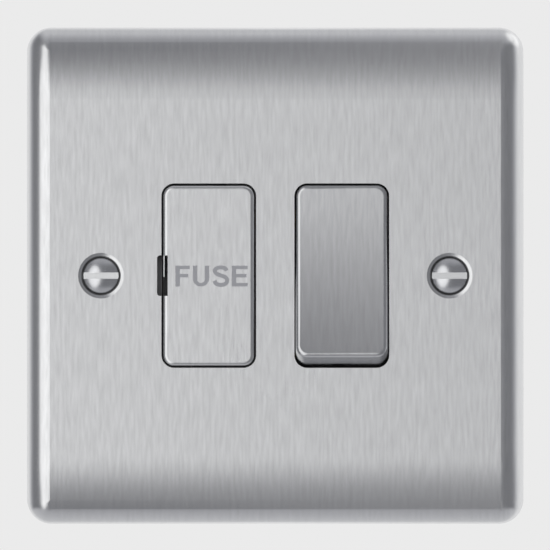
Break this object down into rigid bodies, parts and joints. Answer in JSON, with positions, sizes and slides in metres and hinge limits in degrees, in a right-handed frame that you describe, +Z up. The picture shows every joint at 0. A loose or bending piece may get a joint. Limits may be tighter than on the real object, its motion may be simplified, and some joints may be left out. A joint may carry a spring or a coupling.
{
  "type": "fused spur unit",
  "caption": "Square wall plate of brushed steel with a slide-out fuse drawer and a rocker switch, and a terminal module behind it.",
  "frame": {"origin": "on the wall plane, midway between the two fixing screws, at the centre of the plate", "axes": "+X right seen from the front, +Y into the wall along the fixing screws, +Z up"},
  "size_m": [0.086, 0.0286, 0.086],
  "materials": {
    "plate_steel": "brushed upright",
    "cap_steel": "brushed upright",
    "screw_plating": "bright nickel plating",
    "zinc_steel": "zinc plated",
    "black_moulding": "fine matte",
    "grey_moulding": "fine matte",
    "terminal_brass": "machined",
    "strip_brass": "rolled",
    "clip_bronze": "rolled spring bronze",
    "contact_silver": "satin silver",
    "spring_steel": "drawn wire",
    "fuse_ceramic": "unglazed",
    "fuse_plating": "nickel plating",
    "rocker_moulding": "fine matte"
  },
  "bodies": {
    "plate_and_module": {"front_plate": "plate_steel", "fixing_screws": "screw_plating", "plate_bushes": "zinc_steel", "module_screws": "zinc_steel", "insert_frame": "black_moulding", "terminal_base": "grey_moulding", "earth_strap": "strip_brass", "terminal_screws": "zinc_steel", "fixed_contact_tips": "contact_silver", "upper_fuse_clip": "clip_bronze", "lower_fuse_clip": "clip_bronze", "live_in_terminal": "terminal_brass", "neutral_in_terminal": "terminal_brass", "earth_in_terminal": "terminal_brass", "live_out_terminal": "terminal_brass", "neutral_out_terminal": "terminal_brass", "earth_out_terminal": "terminal_brass", "live_in_strip": "strip_brass", "neutral_in_strip": "strip_brass", "live_link_strip": "strip_brass", "live_out_strip": "strip_brass", "neutral_out_strip": "strip_brass"},
    "fuse_drawer": {"fuse_drawer_cap": "cap_steel", "fuse_drawer_body": "black_moulding", "fuse_tube": "fuse_ceramic", "fuse_upper_cap": "fuse_plating", "fuse_lower_cap": "fuse_plating", "fuse_wire": "spring_steel"},
    "rocker": {"rocker_cap": "cap_steel", "rocker_body": "rocker_moulding", "live_plunger_spring": "spring_steel", "neutral_plunger_spring": "spring_steel"},
    "live_plunger": {"live_plunger": "grey_moulding"},
    "neutral_plunger": {"neutral_plunger": "grey_moulding"},
    "live_contact": {"live_contact_arm": "strip_brass", "live_moving_tip": "contact_silver"},
    "neutral_contact": {"neutral_contact_arm": "strip_brass", "neutral_moving_tip": "contact_silver"}
  },
  "joints": [
    {"name": "drawer_slide", "type": "slide", "parent": "plate_and_module", "child": "fuse_drawer", "axis": [0, -1, 0], "range_m": [0, 0.0145]},
    {"name": "rocker_hinge", "type": "hinge", "parent": "plate_and_module", "child": "rocker", "pos_m": [0.0115, -0.0006, 0], "axis": [1, 0, 0], "range_deg": [0, 13]},
    {"name": "live_plunger_slide", "type": "slide", "parent": "rocker", "child": "live_plunger", "axis": [0, -0.9936, 0.1132], "range_m": [0, 0.0006], "stiffness_N_per_m": 400, "deforming": ["live_plunger_spring"]},
    {"name": "neutral_plunger_slide", "type": "slide", "parent": "rocker", "child": "neutral_plunger", "axis": [0, -0.9936, 0.1132], "range_m": [0, 0.0006], "stiffness_N_per_m": 400, "deforming": ["neutral_plunger_spring"]},
    {"name": "live_contact_hinge", "type": "hinge", "parent": "plate_and_module", "child": "live_contact", "pos_m": [0.0073, 0.0098, 0], "axis": [1, 0, 0], "range_deg": [-19.5, 0]},
    {"name": "neutral_contact_hinge", "type": "hinge", "parent": "plate_and_module", "child": "neutral_contact", "pos_m": [0.0157, 0.0098, 0], "axis": [1, 0, 0], "range_deg": [-19.5, 0]}
  ],
  "couplings": [
    {"joint": "live_contact_hinge", "follows": "rocker_hinge", "ratio": -1.5},
    {"joint": "neutral_contact_hinge", "follows": "rocker_hinge", "ratio": -1.5}
  ]
}
